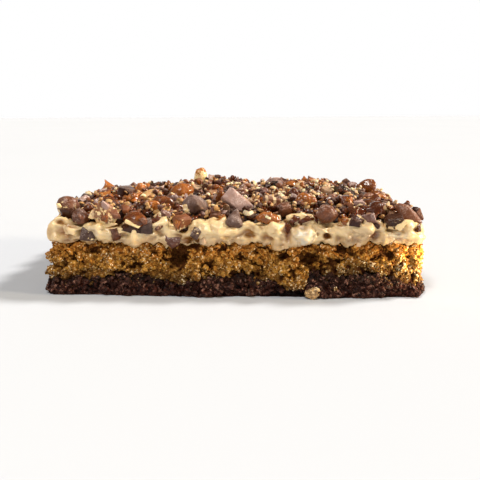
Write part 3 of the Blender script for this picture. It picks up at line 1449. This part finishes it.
@dataclass
class SweetsHeap:
    """The heap: a rough bed, the small pieces of the solid heap, and finer ones between and on them."""

    node: str = "chopped_sweets_heap"
    slot: str = "chopped_sweets"
    mound: Mound = field(default_factory=Mound)
    lattice: Lattice = field(default_factory=Lattice)
    lift: float = 0.3
    worthwhile: float = 3.3 * MM
    clearance: float = 0.5 * MM
    bed_pitch: float = 0.5 * MM
    bed_inset: float = 2.0 * MM
    bed_wander: float = 2.4 * MM
    bed_relief: float = 0.9 * MM
    bed_front: float = 2.2 * MM
    bed_droop: float = 1.2 * MM
    bed_sunk: float = 0.8 * MM
    bit_settle: float = 30.0
    bit_highest: float = 1.2 * MM
    batch_inset: float = 1.6 * MM
    batch_front: float = 0.6 * MM
    front_band: float = 9.0 * MM
    front_over: float = 0.8 * MM
    kept_clean: float = 0.9
    deeper_front: float = 0.46
    deeper_left: float = 0.2
    headroom: float = 4.4 * MM
    front_share: float = 0.12
    seed: int = 23
    shares: tuple[tuple[Sweet, float], ...] = (
        (MILK, 0.27), (CUT, 0.16), (CARAMEL, 0.22), (DARK, 0.13), (NOUGAT, 0.12), (PEANUT, 0.10),
    )
    batches: tuple[Batch, ...] = (
        Batch(MILK, 130, 2.8, 4.8, 40), Batch(CARAMEL, 130, 2.6, 4.4, 40), Batch(CUT, 110, 2.4, 4.4, 45),
        Batch(PEANUT, 110, 2.4, 3.6, 50), Batch(DARK, 70, 2.4, 4, 35), Batch(NOUGAT, 80, 2.4, 3.8, 45),
        Batch(PEANUT, 950, 1.1, 2.2, 70), Batch(MILK, 360, 1.1, 2.3, 50), Batch(CUT, 260, 1, 2.2, 55),
        Batch(CARAMEL, 300, 1.1, 2.2, 50), Batch(NOUGAT, 360, 0.9, 1.8, 65),
        Batch(DARK, 120, 0.9, 1.8, 45),
    )

    def __post_init__(self) -> None:
        """Sets out the large sweets, an empty joined shape for each kind, and the shapes to draw from."""
        self.draw = random.Random(self.seed)
        self.shift = bar_shift()
        self.heights = HeapField(self.mound)
        self.large: list[tuple[float, float, float]] = []
        for sweet in LARGE_SWEETS:
            low, high = (corner - self.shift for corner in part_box(sweet.node))
            x, y, wide, deep = (low.x + high.x) / 2, (low.y + high.y) / 2, high.x - low.x, high.y - low.y
            self.heights.cover(x, y, min(wide, deep) * 0.5, low.z, high.z)
            self.large.append((x, y, max(wide, deep) * 0.5))
        self.scatters = {sweet: Scatter(TINT) for sweet in Sweet}
        self.shapes = sweet_shapes(self.draw, fine=True)

    def bed(self) -> Shape:
        """The heap's own core, rough with crushed sweets.

        Returns:
            The shape.
        """
        half_x, half_y = self.mound.length / 2 - self.bed_inset, self.mound.depth / 2 - self.bed_inset
        front = self.mound.front(self.bed_front)
        shape = bmesh.new()
        columns, rows = round(2 * half_x / self.bed_pitch), round(2 * half_y / self.bed_pitch)
        bmesh.ops.create_grid(shape, x_segments=columns, y_segments=rows, size=1.0)
        level = shape.verts.layers.float.new(TINT)
        for vert in shape.verts:
            u, v = vert.co.x, vert.co.y
            corner = 1.0 - 0.05 * (abs(u) * abs(v)) ** 8
            x, y = u * half_x * corner, v * half_y * corner
            y = y if y > 0.0 else y * front / -half_y
            y += noise.noise(Vector((x, 0.0, 0.0)) / (4.0 * MM)) * self.bed_wander * max(0.0, -v) ** 4
            place = Vector((x, y, 0.0))
            rough = clumps(place, ((1.0, 2.4 * MM), (0.6, 1.1 * MM), (0.4, 0.55 * MM)))
            vert[level] = 0.45 + 0.9 * noise.noise(place / (1.2 * MM))
            droop = self.bed_droop * max(abs(u), abs(v)) ** 30
            height = self.mound.height(x, y) + rough * self.bed_relief - droop
            vert.co = Vector((x, y, height)) + self.shift
        rim = [edge for edge in shape.edges if edge.is_boundary]
        walls = bmesh.ops.extrude_edge_only(shape, edges=rim)["geom"]
        for vert in [item for item in walls if isinstance(item, bmesh.types.BMVert)]:
            vert.co.z = self.mound.foot - self.bed_sunk
        foot = [item for item in walls if isinstance(item, bmesh.types.BMEdge) and item.is_boundary]
        bmesh.ops.edgeloop_fill(shape, edges=foot)
        bmesh.ops.recalc_face_normals(shape, faces=shape.faces)
        return shape

    def drawn_tint(self, x: float, y: float) -> float:
        """Draws a sweet's tone, which is deeper at the front, and somewhat on the left.

        Args:
            x: Its place.
            y: Its place.

        Returns:
            The tone, up to 1 for the brightest.
        """
        front = min(1.0, max(0.0, -(y + 8 * MM) / (12 * MM)))
        left = min(1.0, max(0.0, -(x + 8 * MM) / (20 * MM)))
        return self.draw.random() - (self.deeper_front * front + self.deeper_left * left)

    def room_at(self, x: float, y: float) -> float:
        """How far a small piece may reach from a place before it meets a large one."""
        reaches = (math.hypot(x - at_x, y - at_y) - reach for at_x, at_y, reach in self.large)
        return min(reach - self.clearance for reach in reaches)

    def dress(self, carriers: Iterable[Piece], finishes: dict[Sweet, Material]) -> None:
        """Makes the bed and one piece for each kind of sweet.

        Args:
            carriers: The icing and the large sweets, on whose front some bits sit.
            finishes: The materials.
        """
        self.place_lattice()
        self.place_bits()
        self.place_front(carriers)
        self.place_batches()
        made_piece(self.bed(), "sweets_bed", BED_FINISH.material("crushed_sweets"), self.node, self.slot)
        for sweet, scatter in self.scatters.items():
            if scatter.shape.faces:
                slot = SWEET_FINISHES[sweet].slot
                made_piece(scatter.shape, sweet.value + "_bits", finishes[sweet], self.node, slot)

    def place_lattice(self) -> None:
        """Puts real sweets where the solid heap has its small pieces."""
        names, weights = zip(*self.shares)
        for x, y, size, turn in self.lattice.sites(self.mound):
            room = 2 * self.room_at(x, y)
            sweet = self.draw.choices(names, weights)[0]
            kind = self.draw.choice(self.shapes[sweet])
            tint = self.drawn_tint(x, y)
            if room < self.worthwhile:
                continue
            size = min(size, room)
            flat = 0.62 + 0.2 * math.sin(turn * 3)
            spin = Euler((0.3 * math.sin(turn), 0.3 * math.cos(turn), turn))
            middle = self.mound.height(x, y) + self.lift * flat * size
            place = placed(Vector((x, y, middle)) + self.shift, spin, (size, size * 0.78, size * flat))
            self.scatters[sweet].add(kind, place, tint)
            self.heights.cover(x, y, size * 0.42, middle, middle + size * flat * 0.42)

    def place_bits(self) -> None:
        """Lets the sweets that have places of their own come to rest on the heap."""
        for bit in HEAP_BITS:
            x, y, tall = bit.x * MM, bit.y * MM, bit.tall * MM
            reach = min(bit.long, bit.deep) * 0.4 * MM
            ground = self.heights.rest(x, y, reach, self.bit_settle)
            middle = min(ground, self.mound.height(x, y) + self.bit_highest) + tall * 0.38
            place = bit.matrix(Vector((x, y, middle)) + self.shift)
            kind = self.draw.choice(self.shapes[bit.sweet])
            self.scatters[bit.sweet].add(kind, place, bit.tint, bit.cream)
            self.heights.cover(x, y, reach, middle, middle + tall * 0.45)

    def place_front(self, carriers: Iterable[Piece]) -> None:
        """Presses some sweets into the front. A bit's second place is its height here.

        Args:
            carriers: The icing and the large sweets.
        """
        front = bmesh.new()
        for carrier in carriers:
            front.from_mesh(carrier.data)
        skin = BVHTree.FromBMesh(front)
        front.free()
        for bit in FRONT_BITS:
            hit = skin.ray_cast(Vector((bit.x * MM, -0.1, bit.y * MM)), Vector((0, 1, 0)))[0]
            if hit is not None and hit.y < FRONT_FACE:
                place = bit.matrix(hit + Vector((0, bit.deep * 0.06 * MM, 0)))
                kind = self.draw.choice(self.shapes[bit.sweet])
                self.scatters[bit.sweet].add(kind, place, bit.tint, bit.cream)

    def place_batches(self) -> None:
        """Lets the finer pieces fall on the heap, the larger ones first."""
        draw = self.draw
        shapes = sweet_shapes(draw, fine=False)
        half_x, half_y = self.mound.length / 2 - self.batch_inset, self.mound.depth / 2 - self.batch_inset
        front = self.mound.front(self.batch_front)
        for batch in [batch for batch in self.batches for _ in range(batch.count)]:
            x, y = draw.uniform(-half_x, half_x), draw.uniform(front, half_y)
            if draw.random() < self.front_share:
                y = draw.uniform(front - self.front_over, front + self.front_band)
            size = draw.uniform(batch.smallest * MM, batch.largest * MM)
            flat = draw.uniform(0.5, 0.9)
            middle = self.heights.rest(x, y, size * 0.4, batch.settle) + size * flat * 0.3
            turn = Euler((draw.uniform(-0.7, 0.7), draw.uniform(-0.7, 0.7), draw.uniform(0, math.tau)))
            scale = (size, size * draw.uniform(0.55, 0.95), size * flat)
            kind = draw.choice(shapes[batch.sweet])
            tint = self.drawn_tint(x, y)
            if middle + size * flat * 0.45 > self.mound.height(x, y) + self.headroom:
                continue
            if self.room_at(x, y) < size * 0.3 and draw.random() < self.kept_clean:
                continue
            place = placed(Vector((x, y, middle)) + self.shift, turn, scale)
            self.scatters[batch.sweet].add(kind, place, tint)
            self.heights.cover(x, y, size * 0.45, middle, middle + size * flat * 0.4)


# The studio


@dataclass(frozen=True)
class Studio:
    """The plain floor, the soft light and the camera of the photograph."""

    eye: Vector = field(default_factory=lambda: Vector((9.75, -203.65, 57.57)) * MM)
    down: float = 12.97
    turned: float = 2.38
    rolled: float = 0.29
    focal_pixels: float = 557.5
    image_pixels: float = 480.0
    sensor: float = 36.0
    floor_half: float = 6.0
    floor_tones: tuple[Colour, Colour] = ((0.575, 0.61, 0.67), (0.60, 0.635, 0.695))
    sky: Colour = (0.24, 0.21, 0.17)
    horizon: Colour = (1.0, 1.0, 1.0)
    horizon_from: float = 0.19
    horizon_to: float = 0.31

    def camera(self) -> None:
        """Sets the camera at the photograph's angle."""
        data = bpy.data.cameras.new("camera")
        data.sensor_width = self.sensor
        data.lens = self.focal_pixels / self.image_pixels * self.sensor
        data.clip_start, data.clip_end = 0.01, 20.0
        camera = linked("camera", data)
        camera.location = self.eye
        turns = (90 - self.down, self.rolled, self.turned)
        camera.rotation_euler = [math.radians(turn) for turn in turns]
        bpy.context.scene.camera = camera

    def lamp(self, name: str, place: Vector, aim: Vector, kind: str = "SUN", **settings: object) -> None:
        """Adds a light.

        Args:
            name: Its name.
            place: Where it stands.
            aim: What it shines on.
            kind: Blender's name for its type.
            settings: Properties to set on it.
        """
        data = bpy.data.lights.new(name, kind)
        for setting, value in settings.items():
            setattr(data, setting, value)
        lamp = linked(name, data)
        lamp.location = place
        lamp.rotation_euler = (aim - place).to_track_quat("-Z", "Y").to_euler()

    def lamps(self) -> None:
        """Adds three far soft lights, and a narrow one on the right end, out of the picture."""
        for name, place, strength, softness, colour in (
            ("key", (0.66, 0.22, 0.72), 3.3, 10.0, (1.0, 0.94, 0.86)),
            ("front", (-0.26, -0.40, 0.88), 1.7, 14.0, (1.0, 0.96, 0.91)),
            ("side", (0.97, -0.12, 0.20), 2.8, 7.0, (1.0, 0.84, 0.58)),
        ):
            softness = math.radians(softness)
            self.lamp(name, Vector(place), Vector(), energy=strength, angle=softness, color=colour)
        self.lamp(
            "glow", Vector((0.160, -0.096, 0.008)), Vector((0.0625, -0.033, 0.0095)), "SPOT",
            energy=10.5, color=(1.0, 0.84, 0.50), spot_size=math.radians(7.0), spot_blend=1.0,
            shadow_soft_size=0.007,
        )

    def floor(self) -> None:
        """Lays the pale floor."""
        shape = bmesh.new()
        bmesh.ops.create_grid(shape, x_segments=1, y_segments=1, size=self.floor_half)
        floor = linked("floor", mesh_of(shape, "floor"))
        recipe = Recipe(bpy.data.materials.new("pale_floor"))
        recipe.colour = recipe.mixed(recipe.mottle(0.3, 2.0), *self.floor_tones)
        floor.data.materials.append(recipe.finish(Roughness=0.9, Specular_IOR_Level=0.1))

    def world(self) -> None:
        """Makes the soft light from all round."""
        world = bpy.data.worlds.new("studio")
        recipe = Recipe(world)
        upward = recipe.along("Z", recipe.place.node.outputs["Generated"])
        light = recipe.mixed(recipe.span(upward, self.horizon_from, self.horizon_to), self.horizon, self.sky)
        recipe.feed(recipe.tree.nodes["Background"].inputs["Color"], light)
        bpy.context.scene.world = world
        bpy.context.scene.view_settings.view_transform = "Standard"

    def dress(self) -> None:
        """Makes all of it."""
        self.floor()
        self.camera()
        self.lamps()
        self.world()


def main() -> None:
    """Builds the bar from the bottom up."""
    logging.basicConfig(level=logging.INFO, format="%(message)s")
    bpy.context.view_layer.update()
    noise.seed_set(NOISE_SEED)
    Studio().dress()
    brownie = CrumbLayer(
        node="brownie_base", name="brownie_crumb", slot="brownie", finish=BROWNIE_FINISH,
        marks=BROWNIE_MARKS, lifts=BROWNIE_LIFTS, cuts=7, clump_size=3.8 * MM, clump_depth=1.0 * MM,
        crack_depth=0.8 * MM, pit_depth=0.5 * MM, crumbs=3400, crumb_small=0.6 * MM, crumb_large=2.4 * MM,
        rare_large=3.4 * MM, seed=2,
    ).dress()
    CrumbLayer(
        node="blondie_layer", name="blondie_crumb", slot="blondie", finish=BLONDIE_FINISH,
        marks=BLONDIE_MARKS, cuts=8, clump_size=2.8 * MM, clump_depth=1.1 * MM, crack_depth=1.2 * MM,
        pit_depth=1.0 * MM, crumbs=9500, crumb_small=0.35 * MM, crumb_large=1.3 * MM, rare_large=2.9 * MM,
        seed=3, strays=320, stray_above=2.6 * MM, clinging=((25.4 * MM, -36.0 * MM, 4.4 * MM),),
    ).dress(brownie)
    icing = IcingLayer().dress()
    finishes = {sweet: finish.material(sweet.value) for sweet, finish in SWEET_FINISHES.items()}
    large = [sweet.dress(finishes) for sweet in LARGE_SWEETS]
    SweetsHeap().dress([icing, *large], finishes)


if __name__ == "__main__":
    main()
